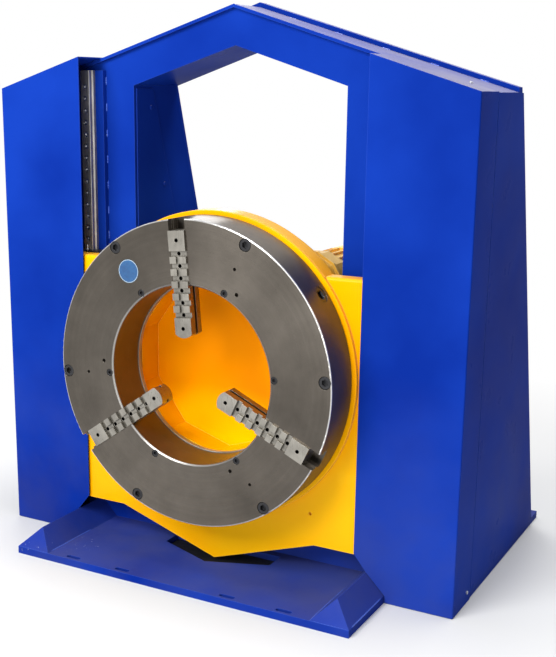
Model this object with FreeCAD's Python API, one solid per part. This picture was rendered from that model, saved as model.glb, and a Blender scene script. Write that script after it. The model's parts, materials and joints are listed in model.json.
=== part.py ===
"""Welding positioner: a blue gantry frame, a yellow lifting carriage and a hollow three-jaw chuck.

Units are millimetres, +Z is up, +X is to the right and +Y runs from the chuck to the back of the
frame. The origin is on the floor, under the middle of the base plate.
"""
import FreeCAD, Part
import math
import os

os.makedirs("parts", exist_ok=True)
Vec = FreeCAD.Vector

# ---------------------------------------------------------------- driving dimensions
# fits and gaps
running_gap = 0.05          # radial clearance of a shaft or slide that runs
seat_gap = 0.2              # radial clearance of a piece that is set in place
press_gap = 0.02            # radial clearance of a screw shank in its hole
over_cut = 50.0             # how far a cutting shape runs past what it cuts

# base plate and feet
base_depth = 1006.0
base_thick = 20.0
base_front_half = 503.0     # half width of the tongue in front of the columns
anchor_slot_length = 44.0
anchor_slot_width = 14.0
anchor_slot_setback = 16.0
anchor_slot_pitch = 161.0   # inner slots at one pitch from the middle, outer slots at two
notch_half_width = 165.0
notch_tip_setback = 174.0
notch_side_setback = 239.0
notch_rear_setback = 303.0
foot_half_width = 52.0
foot_height = 52.0
foot_sheet = 5.0
foot_hip_length = 46.0
notch_pan_thick = 3.0

# gantry frame
frame_half_width = 682.0
frame_setback = 328.0       # front of the base plate to the recessed front face
frame_plate = 10.0
wall_plate = 8.0
apex_height = 1476.0
eave_height = 1262.0
opening_half_width = 315.0
arch_apex_depth = 101.0     # roof to the opening, at the apex and at the shoulder
arch_shoulder_depth = 102.16
sill_height = 240.0
column_depth_at_eave = 226.0
back_margin = 73.2          # foot of the raked back to the base plate's rear edge
roof_thick = 8.0
roof_overhang = 11.0
roof_strip_depth = 28.0
roof_strip_height = 12.0
liner_thick = 3.0
liner_back_margin = 134.0
liner_screw_pitch = 214.0
liner_screw_drop = 59.0     # first screw below the opening's shoulder
liner_screw_setback = 27.0
liner_top_gap = 8.0
side_lap = 30.0             # side plate standing forward of the front plate

# front covers
cover_setback = 217.0
cover_sheet = 3.0
cover_inner_half = 417.0
cover_side_depth = 131.0
cover_floor_gap = 2.0
cover_foot_gap = 2.0
cover_bend = 4.0
cover_inner_bottom = 117.0  # where the inner edge meets the cut over the foot
cover_seam = 4.0            # open joint between the cover's flange and the side plate
cover_screw_radius = 5.0
cover_screw_head = 3.0
cover_screw_height = 32.0
cover_screw_setback = 9.0   # forward of the recessed front face
roof_screw_margin = 57.0    # roof screw to the frame's side
panel_screw_radius = 6.0
panel_screw_head = 3.0
rear_cover_depth = 20.0
rear_cover_inner_half = 345.0
rear_cover_side_margin = 12.0
rear_cover_bottom = 60.0
rear_cover_drop = 27.0      # top of the rear cover below the eave
rear_screw_end_margin = 52.0
rear_screw_margin = 12.0
rear_screw_count = 4

# guides
rail_half_spacing = 447.0
rail_width = 30.0
rail_height = 28.0
rail_bottom = 130.0
rail_roof_drop = 21.7       # rail end below the roof
rail_screw_pitch = 32.0
rail_screw_margin = 21.0
rail_foot = 9.0             # height of the straight flank under the running groove
rail_groove_bevel = 3.0
rail_groove_floor = 5.0
rail_groove_depth = 4.0
rail_chamfer = 1.5
rail_counterbore_radius = 7.2
rail_counterbore_depth = 9.0
rail_hole_radius = 4.5
rail_head_radius = 6.5
rail_head_sink = 1.0
rail_shank_radius = 4.0
rail_socket = 6.0
strip_width = 82.0
strip_thick = 16.0
block_width = 90.0
block_length = 110.0
block_gap = 5.0             # block face to mounting strip
block_clearance = 0.3       # block to rail, all round
block_screw_pitch_x = 40.0
block_screw_pitch_z = 76.0
block_screw_radius = 5.0
block_screw_head = 2.5
block_high = 205.0          # centre of the upper blocks above the chuck axis
block_low = -340.0

# carriage
axis_height = 555.0         # chuck axis above the floor at rest
lift_travel = 400.0
chuck_setback = 94.0
carriage_offset = 132.0     # chuck face to the front of the carriage plate
carriage_plate_thick = 41.0
carriage_half_width = 560.0
carriage_top = 265.0        # above the chuck axis
carriage_shoulder = -444.0
carriage_tip = -543.0
carriage_shoulder_half = 300.0
carriage_edge_radius = 9.0
plate_hole_x = 288.0
plate_hole_z = -359.0       # from the chuck axis
plate_hole_radius = 4.25
plate_hole_depth = 15.0

# chuck
chuck_radius = 400.0
chuck_depth = 118.0
chuck_bore = 234.0
chuck_turn = 5.0            # degrees that the chuck is turned at rest
chuck_joint = 70.0          # depth of the joint between body and back plate in the bore
cavity_inner = 262.0
cavity_outer = 366.0
cavity_start = 51.0
outer_screw_circle = 382.5
outer_screw_thread = 20.0
inner_screw_circle = 246.0
inner_screw_thread = 12.0
tapped_far_circle = 315.0
tapped_far_radius = 4.25
tapped_near_circle = 263.0
tapped_near_radius = 5.1
tapped_near_angle = -7.0
tapped_depth = 22.0
badge_radius = 30.0
badge_circle = 312.0
badge_thick = 0.8

# jaws and scroll
jaw_width = 48.0
jaw_inner_end = 100.0
jaw_length = 271.0
jaw_proud = 6.0
jaw_depth = 44.0
jaw_tongue_start = 16.0
jaw_tongue_width = 9.0
jaw_tongue_depth = 6.0
key_count = 6
key_pitch = 31.0
key_width = 14.0
key_depth = 8.0
key_groove_width = 11.0
key_groove_depth = 5.0
jaw_hole_radius = 5.1
jaw_hole_depth = 30.0
jaw_nose_radius = 34.5
jaw_end_hole_margin = 24.0
jaw_tooth_root = 1.0        # overlap of tooth and jaw before they are fused
jaw_tooth_tip_gap = 0.5     # tooth tip to groove floor
jaw_tooth_thick = 6.0
jaw_tooth_width = 30.0
jaw_first_tooth = 320.0
jaw_teeth = 2
scroll_pitch = 16.0
scroll_groove_width = 8.0
scroll_groove_depth = 8.5
scroll_start = 52.0
scroll_turns = 5.4
scroll_gap = 2.0            # scroll rim to the cavity wall
scroll_hub_outer = 328.0
scroll_end = 88.0
back_plate_start = 90.0
key_axis_depth = 85.0
key_head_radius = 22.0
key_nose_radius = 12.0
key_nose_inner = 336.0
key_square = 19.0
key_square_depth = 18.0
key_sink = 2.0              # socket face below the chuck's rim
key_shoulder = 2.0          # head face to the cavity wall
key_mouth_depth = 4.0
key_neck_radius = 14.0
key_hole_gap = 4.0          # round the nose in the back plate
screw_sink = 1.0            # head below the chuck face
counterbore_ratio = 0.82    # counterbore radius in thread diameters
outer_screw_reach = 108.0
inner_screw_reach = 114.0
bore_chamfer = 4.0
rim_radius = 2.5
mesh_gap = 0.4

# slewing drive
drum_radius = 411.0
drum_start = 121.0
drum_end = 178.0
drum_mouth = 397.0
drum_groove = 2.0
drum_groove_pitch = 4.0
race_shoulder = 12.0
adapter_bore = 232.0        # nearly flush with the chuck's own bore
adapter_end = 130.0
adapter_radius = 395.0
race_end = 172.0
race_outer_radius = 384.0
ball_circle_radius = 363.0
ball_radius = 9.0
ball_count = 60
ball_gap = 0.3
race_gap = 4.0              # half the gap between the two races
gear_module = 6.0
addendum = 1.0              # in modules
internal_addendum = 0.8
dedendum = 1.25
ring_teeth = 110
pinion_teeth = 14
pressure_angle = 20.0
gear_backlash = 0.5
pinion_width = 34.0
pinion_angle = 45.0
pinion_shaft_radius = 17.5
pinion_setback = 4.0
pinion_shaft_reach = 30.0   # into the gearbox
gearcase_end = 208.0
gearcase_radius = 396.0
gearcase_cover_thick = 10.0
gearcase_screw_count = 12
gearcase_screw_margin = 12.0
gearcase_screw_radius = 7.0
gearcase_screw_head = 6.0
pan_sides = 10
pan_radius = 243.0
pan_wall = 4.0
pan_start = 134.0
gearbox_sides = 12
gearbox_neck_radius = 75.0
gearbox_bell_radius = 98.0
gearbox_rim_radius = 105.0
gearbox_body_radius = 96.0
gearbox_bell_depth = 44.0
gearbox_rim_depth = 8.0
gearbox_body_depth = 70.0
motor_radius = 80.0
motor_length = 130.0
motor_cowl_radius = 86.0
motor_cowl_length = 70.0
motor_fin_count = 24
motor_fin_height = 7.0
motor_fin_thick = 3.0
motor_fin_margin = 10.0
motor_fin_root = 5.0
cowl_sheet = 3.0
cowl_hollow_start = 25.0
cowl_hole_count = 8
cowl_hole_radius = 11.0
cowl_hole_share = 0.6
terminal_half_width = 45.0
terminal_half_length = 40.0
terminal_height = 45.0
terminal_root = 12.0
terminal_gland_radius = 9.0
terminal_gland_length = 18.0
terminal_gland_drop = 20.0

# lift drive
screw_wall_distance = 107.0 # screw axis to the frame's side
screw_front_distance = 65.0 # screw axis behind the recessed front face
screw_radius = 20.0
screw_bottom = 96.0
screw_eave_drop = 62.0      # top of the screw's thread below the eave
screw_journal_radius = 15.0
screw_top_journal_radius = 12.0
nut_radius = 30.0
nut_flange_radius = 38.0
nut_flange_thick = 18.0
nut_length = 90.0
nut_housing_wall = 12.0
arm_height = 60.0
arm_bottom = 420.0
arm_width = 50.0
arm_slot_gap = 10.0
arm_slot_end = 20.0
arm_foot_length = 60.0
arm_foot_thick = 32.0
shaft_height = 80.0
shaft_radius = 12.5
gearbox_size = 100.0
gearbox_wall = 8.0
bevel_radius = 26.0
bevel_inner_radius = 18.0
bevel_stub = 3.0            # shaft end past the small end of its gear
pillow_spacing = 230.0
pillow_half_length = 20.0
pillow_half_depth = 40.0
pillow_cap = 28.0
top_bearing_half = 45.0
top_bearing_gap = 4.0
top_bearing_thick = 30.0
gearmotor_half_width = 70.0
gearmotor_half_depth = 70.0
gearmotor_top = 165.0
gearmotor_gap = 3.0
gearmotor_axis = 100.0
gearmotor_flange_radius = 62.0
gearmotor_flange_thick = 15.0
lift_motor_radius = 55.0
lift_motor_length = 165.0
lift_cowl_radius = 58.0
lift_cowl_length = 50.0
lift_foot_half_width = 45.0
lift_foot_setback = 40.0
lift_foot_length = 110.0
lift_foot_top = 60.0

# cable entry
gland_height = 150.0
gland_side_margin = 82.0
gland_plate_half = 35.0
gland_plate_thick = 5.0
gland_nut_radius = 17.0
gland_nut_length = 12.0
gland_cap_radius = 13.0
gland_cap_length = 26.0
gland_bore_radius = 6.5
gland_bore_depth = 19.0

# ---------------------------------------------------------------- places worked out from these
base_front = -base_depth / 2
base_back = base_depth / 2
chuck_face = base_front + chuck_setback
cover_front = base_front + cover_setback
frame_front = base_front + frame_setback
carriage_front = chuck_face + carriage_offset
carriage_back = carriage_front + carriage_plate_thick
strip_front = frame_front - strip_thick
rail_front = strip_front - rail_height
cover_half = frame_half_width + cover_sheet
roof_slope = (apex_height - eave_height) / frame_half_width
roof_stretch = math.hypot(1, roof_slope)
roof_drop = roof_thick * roof_stretch
plate_half = frame_half_width - wall_plate
foot_rise = math.hypot(1, foot_height / foot_half_width)
foot_run = math.hypot(1, foot_half_width / foot_height)
foot_ridge_x = base_front_half - foot_half_width
opening_apex_height = apex_height - arch_apex_depth
opening_shoulder_height = apex_height - roof_slope * opening_half_width - arch_shoulder_depth
back_y_at_eave = frame_front + column_depth_at_eave
back_rake = (base_back - back_margin - back_y_at_eave) / (eave_height - base_thick)
rear_cover_top = eave_height - rear_cover_drop
rear_cover_outer_half = frame_half_width - rear_cover_side_margin
rail_top = apex_height - roof_slope * rail_half_spacing - rail_roof_drop
screw_half_spacing = frame_half_width - screw_wall_distance
screw_y = frame_front + screw_front_distance
screw_top = eave_height - screw_eave_drop
gland_x = frame_half_width - gland_side_margin
motor_distance = gear_module * (ring_teeth - pinion_teeth) / 2
gearcase_back = chuck_face + gearcase_end + gearcase_cover_thick
screw_circles = ((outer_screw_circle, outer_screw_thread), (inner_screw_circle, inner_screw_thread))


def roof_z(x):
    """Height of the roof's upper face at x."""
    return apex_height - roof_slope * abs(x)


def back_y(z):
    """Place of the raked back face at height z."""
    return back_y_at_eave + back_rake * (eave_height - z)


# ---------------------------------------------------------------- shape helpers
def box(x0, x1, y0, y1, z0, z1):
    return Part.makeBox(x1 - x0, y1 - y0, z1 - z0, Vec(x0, y0, z0))


def face(points):
    return Part.Face(Part.makePolygon(points + [points[0]]))


def prism_x(yz, x0, x1):
    return face([Vec(x0, y, z) for y, z in yz]).extrude(Vec(x1 - x0, 0, 0))


def prism_y(xz, y0, y1):
    return face([Vec(x, y0, z) for x, z in xz]).extrude(Vec(0, y1 - y0, 0))


def prism_z(xy, z0, z1):
    return face([Vec(x, y, z0) for x, y in xy]).extrude(Vec(0, 0, z1 - z0))


def rod_x(r, x0, x1, y, z):
    return Part.makeCylinder(r, x1 - x0, Vec(x0, y, z), Vec(1, 0, 0))


def rod_y(r, y0, y1, x=0.0, z=axis_height):
    return Part.makeCylinder(r, y1 - y0, Vec(x, y0, z), Vec(0, 1, 0))


def rod_z(r, z0, z1, x, y):
    return Part.makeCylinder(r, z1 - z0, Vec(x, y, z0), Vec(0, 0, 1))


def ring_y(outer, inner, y0, y1):
    return rod_y(outer, y0, y1).cut(rod_y(inner, y0 - 1, y1 + 1))


def mirror(shape):
    return shape.mirror(Vec(0, 0, 0), Vec(1, 0, 0))


def spin(shape, degrees):
    """Turn about the chuck axis, from +X towards +Z."""
    turned = shape.copy()
    turned.rotate(Vec(0, 0, axis_height), Vec(0, -1, 0), degrees)
    return turned


def polar(radius, degrees, centre_x=0.0, centre_z=axis_height):
    a = math.radians(degrees)
    return centre_x + radius * math.cos(a), centre_z + radius * math.sin(a)


def polygon_xz(radius, sides, centre_x, centre_z, start):
    return [polar(radius, start + 360.0 * k / sides, centre_x, centre_z) for k in range(sides)]


def hex_rod_y(across, y0, y1, x, z):
    return prism_y(polygon_xz(across / math.sqrt(3), 6, x, z, 30.0), y0, y1)


def fuse(shapes):
    result = shapes[0]
    for shape in shapes[1:]:
        result = result.fuse(shape)
    return result.removeSplitter()


def edges_where(shape, test):
    return [edge for edge in shape.Edges if test(edge)]


def save(name, shapes):
    shapes = shapes if isinstance(shapes, list) else [shapes]
    solids = [solid for shape in shapes for solid in shape.Solids]
    result = solids[0] if len(solids) == 1 else Part.makeCompound(solids)
    result.exportStep("parts/" + name + ".step")


def socket_screw_y(thread, y_head, length, x, z):
    """Hexagon socket head cap screw, its head's outer face at y_head, pointing along +Y."""
    head_radius = 0.75 * thread
    head = rod_y(head_radius, y_head, y_head + thread, x, z)
    socket = hex_rod_y(0.8 * thread, y_head - 1, y_head + 0.5 * thread, x, z)
    shank = rod_y(thread / 2 - press_gap, y_head + thread - 1, y_head + thread + length, x, z)
    return head.fuse(shank).removeSplitter().cut(socket)


# ---------------------------------------------------------------- base plate and feet
def notch_outline(inset):
    """Opening in the base plate under the carriage's tip, shrunk sideways and lengthways by inset."""
    half = notch_half_width - inset
    rear = base_front + notch_rear_setback - inset
    side = base_front + notch_side_setback + inset
    return [(0, base_front + notch_tip_setback + inset * 2), (half, side), (half, rear),
            (-half, rear), (-half, side)]


def notch_pan():
    """Thin closing sheet on the floor inside the base plate's notch."""
    return prism_z(notch_outline(seat_gap), 0, notch_pan_thick)


def base_plate():
    column_front = base_front + cover_setback + cover_sheet
    right = [(base_front_half, base_front), (base_front_half, column_front),
             (frame_half_width, column_front), (frame_half_width, base_back)]
    left = [(-x, y) for x, y in reversed(right)]
    plate = prism_z(left + right, 0, base_thick)
    plate = plate.cut(prism_z(notch_outline(0), -1, base_thick + 1))
    for k in (-2, -1, 1, 2):
        plate = plate.cut(anchor_slot(k * anchor_slot_pitch, base_front + anchor_slot_setback))
    return plate


def anchor_slot(x, y):
    r = anchor_slot_width / 2
    reach = anchor_slot_length / 2 - r
    slot = box(x - reach, x + reach, y - r, y + r, -1, base_thick + 1)
    ends = [rod_z(r, -1, base_thick + 1, x + side * reach, y) for side in (-1, 1)]
    return fuse([slot] + ends)


def foot_prism(inset):
    """Roof-shaped gusset on the base plate's front corner, hipped in front, shrunk by inset."""
    half = foot_half_width - inset * foot_run
    high = foot_height - inset * foot_rise
    section = [(foot_ridge_x - half, base_thick), (foot_ridge_x, base_thick + high),
               (foot_ridge_x + half, base_thick)]
    front = base_front + inset * math.hypot(1, foot_hip_length / foot_height)
    z1 = base_thick + 2 * foot_height
    keep = prism_x([(front, base_thick), (frame_front, base_thick), (frame_front, z1),
                    (front + 2 * foot_hip_length, z1)],
                   foot_ridge_x - foot_half_width, foot_ridge_x + foot_half_width)
    return prism_y(section, base_front, frame_front).common(keep)


def foot_gusset():
    return foot_prism(0).cut(foot_prism(foot_sheet))


# ---------------------------------------------------------------- gantry frame
def gable(half, top_drop, bottom):
    """House-shaped outline, its roof lowered by top_drop."""
    return [(-half, bottom), (half, bottom), (half, roof_z(half) - top_drop),
            (0, apex_height - top_drop), (-half, roof_z(half) - top_drop)]


def opening(grow=0.0):
    slope = (opening_apex_height - opening_shoulder_height) / opening_half_width
    half = opening_half_width + grow
    lift = grow * math.hypot(1, slope)
    shoulder = opening_apex_height + lift - slope * half
    return [(-half, sill_height - grow), (half, sill_height - grow), (half, shoulder),
            (0, opening_apex_height + lift), (-half, shoulder)]


def raked_slab(y_offset, thick, x0, x1, z0=base_thick, z1=apex_height + over_cut):
    """Slab that follows the raked back, its rear face y_offset behind it."""
    rear0 = back_y(z0) + y_offset
    rear1 = back_y(z1) + y_offset
    return prism_x([(rear0 - thick, z0), (rear0, z0), (rear1, z1), (rear1 - thick, z1)], x0, x1)


def front_frame_plate():
    plate = prism_y(gable(plate_half, roof_drop, base_thick), frame_front, frame_front + frame_plate)
    plate = plate.cut(prism_y(opening(), frame_front - 1, frame_front + frame_plate + 1))
    half = arm_width / 2 + arm_slot_gap
    z0 = arm_bottom - arm_slot_end
    z1 = arm_bottom + arm_height + lift_travel + arm_slot_end
    for side in (-1, 1):
        x = side * screw_half_spacing
        plate = plate.cut(box(x - half, x + half, frame_front - 1, frame_front + frame_plate + 1, z0, z1))
    return plate


def rear_frame_plate():
    slab = raked_slab(0, wall_plate, -plate_half, plate_half)
    outline = prism_y(gable(plate_half, roof_drop, base_thick), frame_front, base_back)
    return slab.common(outline).cut(prism_y(opening(), frame_front, base_back))


def side_section(front, top):
    """Side of the column from a front edge to the raked back."""
    return [(front, base_thick), (back_y(base_thick), base_thick), (back_y(top), top), (front, top)]


def side_plate():
    """Side of the column, rebated in front so that the cover's flange lies flush with it."""
    core = prism_x(side_section(frame_front - side_lap, roof_z(frame_half_width) - roof_drop),
                   plate_half, frame_half_width)
    seam = cover_front + cover_side_depth + cover_seam
    skin = prism_x(side_section(seam, roof_z(cover_half)), frame_half_width, cover_half)
    return core.fuse(skin).removeSplitter()


def inner_wall():
    z1 = opening_shoulder_height
    front = frame_front + frame_plate
    section = [(front, sill_height), (back_y(sill_height) - wall_plate, sill_height),
               (back_y(z1) - wall_plate, z1), (front, z1)]
    return prism_x(section, opening_half_width, opening_half_width + wall_plate)


def inner_liner():
    """Lapped panel on the opening's side wall; its rear edge runs along the raked back."""
    z0 = sill_height
    z1 = opening_shoulder_height - liner_top_gap
    face_x = opening_half_width - liner_thick
    front = frame_front + frame_plate
    panel = prism_x([(front, z0), (back_y(z0) - liner_back_margin, z0),
                     (back_y(z1) - liner_back_margin, z1), (front, z1)], face_x, opening_half_width)
    first = opening_shoulder_height - liner_screw_drop
    count = int((first - sill_height) // liner_screw_pitch) + 1
    heads = []
    for k in range(count):
        z = first - k * liner_screw_pitch
        y = back_y(z) - liner_back_margin - liner_screw_setback
        heads.append(rod_x(panel_screw_radius, face_x - panel_screw_head, face_x, y, z))
    return [panel] + heads


def opening_lining():
    """Two soffit plates under the arch and a sill plate across the bottom."""
    ring = prism_y(opening(wall_plate), frame_front + frame_plate, base_back)
    ring = ring.cut(prism_y(opening(), frame_front, base_back + 1))
    keep = prism_x([(frame_front + frame_plate, 0), (back_y(0) - wall_plate, 0),
                    (back_y(apex_height) - wall_plate, apex_height),
                    (frame_front + frame_plate, apex_height)], -frame_half_width, frame_half_width)
    ring = ring.common(keep)
    x = opening_half_width
    soffit = box(0, x, frame_front, base_back, opening_shoulder_height, apex_height)
    sill = box(-x, x, frame_front, base_back, sill_height - wall_plate, sill_height)
    return [ring.common(soffit), ring.common(mirror(soffit)), ring.common(sill)]


def roof_plate():
    half = frame_half_width
    band = prism_y([(0, apex_height), (half, roof_z(half)), (half, roof_z(half) - roof_drop),
                    (0, apex_height - roof_drop)], frame_front - roof_overhang, base_back)
    keep = prism_x([(frame_front - roof_overhang, 0), (back_y(0), 0),
                    (back_y(apex_height), apex_height),
                    (frame_front - roof_overhang, apex_height)], 0, half)
    return band.common(keep)


def roof_strip():
    """Raised bar stitch-welded along the roof's rear edge."""
    half = frame_half_width
    lift = roof_strip_height * roof_stretch
    band = prism_y([(0, apex_height), (half, roof_z(half)), (half, roof_z(half) + lift),
                    (0, apex_height + lift)], frame_front, base_back)
    z0 = eave_height - 10
    z1 = apex_height + 40
    keep = prism_x([(back_y(z0) - roof_strip_depth, z0), (back_y(z0), z0),
                    (back_y(z1), z1), (back_y(z1) - roof_strip_depth, z1)], 0, half)
    return band.common(keep)


# ---------------------------------------------------------------- covers
def cover_outline(inset):
    """Front cover seen from the front, cut away over the foot; inset shrinks roof and outer side."""
    outer = cover_half - inset
    lift = (cover_sheet - inset) * roof_stretch
    ridge_z = base_thick + foot_height + cover_foot_gap * foot_rise
    foot_x = base_front_half + cover_foot_gap * foot_run
    return [(cover_inner_half, roof_z(cover_inner_half) + lift), (cover_inner_half, cover_inner_bottom),
            (foot_ridge_x, ridge_z), (foot_x, base_thick), (foot_x, cover_floor_gap),
            (outer, cover_floor_gap), (outer, roof_z(outer) + lift)]


def front_cover():
    back = cover_front + cover_side_depth
    shell = prism_y(cover_outline(0), cover_front, back)
    bend = edges_where(shell, lambda e: abs(e.BoundBox.XMin - cover_half) < 0.01
                       and abs(e.BoundBox.YMax - cover_front) < 0.01
                       and e.BoundBox.ZLength > eave_height / 2)
    shell = shell.makeFillet(cover_bend, bend)
    top = roof_z(cover_inner_half) + 40
    inner = prism_y(cover_outline(cover_sheet), cover_front + cover_sheet, back + 1)
    core = inner.fuse(box(cover_inner_half - 1, frame_half_width, cover_front + cover_sheet, back + 1,
                          0, cover_inner_bottom + foot_height)).removeSplitter()
    shell = shell.cut(core)
    side = box(cover_inner_half - 20, frame_half_width, cover_front + cover_sheet, back + 1, -1, top)
    lid = prism_y([(cover_inner_half - 1, roof_z(cover_inner_half - 1)), (cover_half, roof_z(cover_half)),
                   (cover_half, top + over_cut), (cover_inner_half - 1, top + over_cut)],
                  cover_front + cover_sheet, back + 1)
    return shell.cut(side.cut(lid))


def cover_screws():
    """Screws of both columns' covers: one low on the side, one in the roof flange, rows at the rear."""
    roof_x = frame_half_width - roof_screw_margin
    roof_place = Vec(roof_x, frame_front - roof_overhang + panel_screw_radius,
                     roof_z(roof_x) + cover_sheet * roof_stretch)
    screws = [rod_x(cover_screw_radius, cover_half, cover_half + cover_screw_head,
                    frame_front - cover_screw_setback, cover_screw_height),
              Part.makeCylinder(cover_screw_radius, cover_screw_head, roof_place, Vec(roof_slope, 0, 1))]
    first = rear_cover_bottom + rear_screw_end_margin
    pitch = (rear_cover_top - rear_screw_end_margin - first) / (rear_screw_count - 1)
    for k in range(rear_screw_count):
        z = first + k * pitch
        y = back_y(z) + rear_cover_depth
        for x in (rear_cover_inner_half + rear_screw_margin, rear_cover_outer_half - rear_screw_margin):
            screws.append(Part.makeCylinder(panel_screw_radius, cover_screw_head, Vec(x, y, z),
                                            Vec(0, 1, back_rake)))
    return screws + [mirror(screw) for screw in screws]


def rear_cover():
    x0 = rear_cover_inner_half
    x1 = rear_cover_outer_half
    z0 = rear_cover_bottom
    z1 = rear_cover_top
    s = cover_sheet
    tray = raked_slab(rear_cover_depth, rear_cover_depth, x0, x1, z0, z1)
    hollow = raked_slab(rear_cover_depth - s, rear_cover_depth, x0 + s, x1 - s, z0 + s, z1 - s)
    return tray.cut(hollow)


# ---------------------------------------------------------------- guides
def mount_strip():
    """Machined strip behind the rail; it ends just under the roof plate."""
    inner = rail_half_spacing - strip_width / 2
    outer = rail_half_spacing + strip_width / 2
    top = roof_z(outer) - roof_drop - seat_gap
    return box(inner, outer, strip_front, frame_front, rail_bottom - 10, top)


def rail_screw_heights():
    first = rail_bottom + rail_screw_margin
    count = int((rail_top - rail_screw_margin - first) // rail_screw_pitch) + 1
    return [first + k * rail_screw_pitch for k in range(count)]


def rail_flank(gap):
    """Half of the rail's section from its foot to its front face, grown by gap."""
    w = rail_width / 2 + gap
    neck = w - rail_groove_depth
    y1 = strip_front - rail_foot
    y2 = y1 - rail_groove_bevel
    y3 = y2 - rail_groove_floor
    y4 = y3 - rail_groove_bevel
    return [(w, y1), (neck, y2), (neck, y3), (w, y4)]


def rail_section(half):
    """Both flanks joined into one closed outline."""
    right = [(rail_half_spacing + x, y) for x, y in half]
    return right + [(rail_half_spacing - x, y) for x, y in reversed(half)]


def guide_rail():
    """Profiled rail with a running groove down each flank and counterbored holes in its face."""
    w = rail_width / 2
    half = [(w, strip_front)] + rail_flank(0)
    half += [(w, rail_front + rail_chamfer), (w - rail_chamfer, rail_front)]
    rail = prism_z(rail_section(half), rail_bottom, rail_top)
    sink = rail_front + rail_counterbore_depth
    for z in rail_screw_heights():
        rail = rail.cut(rod_y(rail_counterbore_radius, rail_front - 1, sink, rail_half_spacing, z))
        rail = rail.cut(rod_y(rail_hole_radius, sink - 1, strip_front + 1, rail_half_spacing, z))
    return rail


def rail_screws():
    screws = []
    top = rail_front + rail_head_sink
    sink = rail_front + rail_counterbore_depth
    for z in rail_screw_heights():
        head = rod_y(rail_head_radius, top, sink, rail_half_spacing, z)
        shank = rod_y(rail_shank_radius, sink - 1, strip_front, rail_half_spacing, z)
        socket = hex_rod_y(rail_socket, top - 1, (top + sink) / 2, rail_half_spacing, z)
        screws.append(head.fuse(shank).removeSplitter().cut(socket))
    return screws + [mirror(screw) for screw in screws]


def guide_blocks():
    """Four carriage blocks, each wrapped round the rail with a small clearance."""
    w = rail_width / 2 + block_clearance
    tunnel = [(w, strip_front)] + rail_flank(block_clearance) + [(w, rail_front - block_clearance)]
    x = rail_half_spacing
    blocks = []
    for centre in (axis_height + block_high, axis_height + block_low):
        z0 = centre - block_length / 2
        z1 = centre + block_length / 2
        body = box(x - block_width / 2, x + block_width / 2, carriage_back, strip_front - block_gap, z0, z1)
        blocks.append(body.cut(prism_z(rail_section(tunnel), z0 - 1, z1 + 1)))
    return blocks + [mirror(block) for block in blocks]


# ---------------------------------------------------------------- carriage
def carriage_plate():
    z = axis_height
    right = [(carriage_shoulder_half, z + carriage_shoulder), (carriage_half_width, z + carriage_shoulder),
             (carriage_half_width, z + carriage_top)]
    left = [(-x, h) for x, h in reversed(right)]
    plate = prism_y([(0, z + carriage_tip)] + right + left, carriage_front, carriage_back)
    plate = plate.cut(rod_y(drum_radius + seat_gap, carriage_front - 1, carriage_back + 1))
    top = edges_where(plate, lambda e: abs(e.BoundBox.ZMin - z - carriage_top) < 0.01
                      and abs(e.BoundBox.YMax - carriage_front) < 0.01)
    plate = plate.makeFillet(carriage_edge_radius, top)
    for side in (-1, 1):
        plate = plate.cut(rod_y(plate_hole_radius, carriage_front - 1, carriage_front + plate_hole_depth,
                                side * plate_hole_x, z + plate_hole_z))
    return plate


def bearing_housing():
    """Drum through the carriage plate: mouth, bearing seat, shoulder and gearcase skirt."""
    y = chuck_face
    drum = rod_y(drum_radius, y + drum_start, y + drum_end)
    drum = drum.fuse(rod_y(gearcase_radius, y + drum_end - 1, y + gearcase_end)).removeSplitter()
    rim = edges_where(drum, lambda e: abs(e.BoundBox.YMax - y - drum_start) < 0.01)
    drum = drum.makeFillet(2.0, rim)
    for k in (1, 2):
        cut0 = y + drum_start + k * drum_groove_pitch
        drum = drum.cut(ring_y(drum_radius + 1, drum_radius - drum_groove, cut0, cut0 + drum_groove))
    drum = drum.cut(rod_y(drum_mouth, y + drum_start - 1, y + adapter_end + 1))
    drum = drum.cut(rod_y(race_outer_radius + seat_gap, y + adapter_end, y + race_end))
    drum = drum.cut(rod_y(race_outer_radius - race_shoulder, y + race_end - 1, y + gearcase_end + 1))
    return drum


def race_profile_cut(radius):
    y = chuck_face + (adapter_end + race_end) / 2
    return Part.makeTorus(ball_circle_radius, radius, Vec(0, y, axis_height), Vec(0, 1, 0))


def bearing_outer_race():
    y = chuck_face
    race = ring_y(race_outer_radius, ball_circle_radius + race_gap, y + adapter_end + 2, y + race_end)
    return race.cut(race_profile_cut(ball_radius + ball_gap))


def bearing_balls():
    y = chuck_face + (adapter_end + race_end) / 2
    balls = []
    for k in range(ball_count):
        x, z = polar(ball_circle_radius, 360.0 * k / ball_count)
        balls.append(Part.makeSphere(ball_radius, Vec(x, y, z)))
    return balls


def involute(angle):
    return math.tan(angle) - angle


def half_tooth_angle(radius, teeth, slack):
    """Half the angle of an involute tooth at radius, with slack added to its arc at the pitch circle."""
    pitch_radius = gear_module * teeth / 2
    base_radius = pitch_radius * math.cos(math.radians(pressure_angle))
    at_pitch = math.pi / (2 * teeth) + involute(math.radians(pressure_angle))
    at_radius = math.acos(base_radius / max(radius, base_radius))
    return at_pitch - involute(at_radius) + slack / (2 * pitch_radius)


def gear_outline(teeth, root, tip, slack, start, centre_x, centre_z, steps):
    """Closed outline with one tooth centred on the start angle."""
    points = []
    radii = [root + (tip - root) * k / steps for k in range(steps + 1)]
    for k in range(teeth):
        middle = start + 360.0 * k / teeth
        half = [(r, math.degrees(half_tooth_angle(r, teeth, slack))) for r in radii]
        points += [polar(r, middle - a, centre_x, centre_z) for r, a in half]
        points += [polar(r, middle + a, centre_x, centre_z) for r, a in reversed(half)]
    return points


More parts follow.
